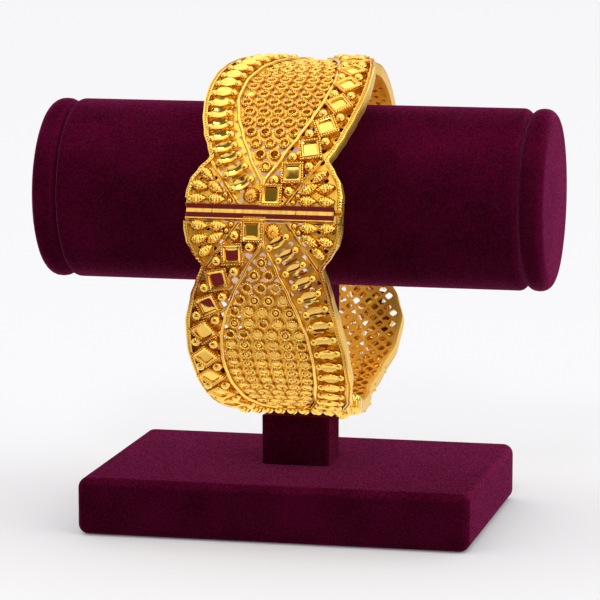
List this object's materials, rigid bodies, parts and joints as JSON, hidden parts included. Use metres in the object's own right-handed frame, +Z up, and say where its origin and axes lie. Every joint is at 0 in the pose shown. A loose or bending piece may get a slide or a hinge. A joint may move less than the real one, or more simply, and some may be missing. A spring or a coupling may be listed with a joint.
{
  "type": "screw bangle on bracelet display stand",
  "caption": "Hinged, pierced openwork bangle in yellow gold, closed by a screw, on a velvet T-bar bracelet stand.",
  "frame": {"origin": "centre of the base's underside, on the table", "axes": "+Z up, X along the roll and along the bangle's axis, -Y towards the viewer, where the bangle's front joint is"},
  "size_m": [0.094, 0.0668, 0.0862],
  "materials": {
    "gold": "polished and satin yellow gold",
    "velvet": "deep plum velvet",
    "pad": "soft pale foam"
  },
  "bodies": {
    "stand_and_band": {"stand_base": "velvet", "post_lower": "velvet", "post_upper": "velvet", "post_pin": "gold", "roll": "velvet", "cap_left": "velvet", "cap_right": "velvet", "bangle_pad": "pad", "bangle_band": "gold", "hinge_leaf_band": "gold", "hinge_pin": "gold", "screw_leaf_band": "gold"},
    "gate": {"gate_panel": "gold", "hinge_leaf_gate": "gold", "screw_leaf_gate": "gold"},
    "screw": {"screw": "gold"}
  },
  "joints": [
    {"name": "gate_hinge", "type": "hinge", "parent": "stand_and_band", "child": "gate", "pos_m": [0, -0.0304, 0.06066], "axis": [-1, 0, 0], "range_deg": [0, 55]},
    {"name": "screw_out", "type": "slide", "parent": "stand_and_band", "child": "screw", "axis": [1, 0, 0], "range_m": [0, 0.02]}
  ]
}
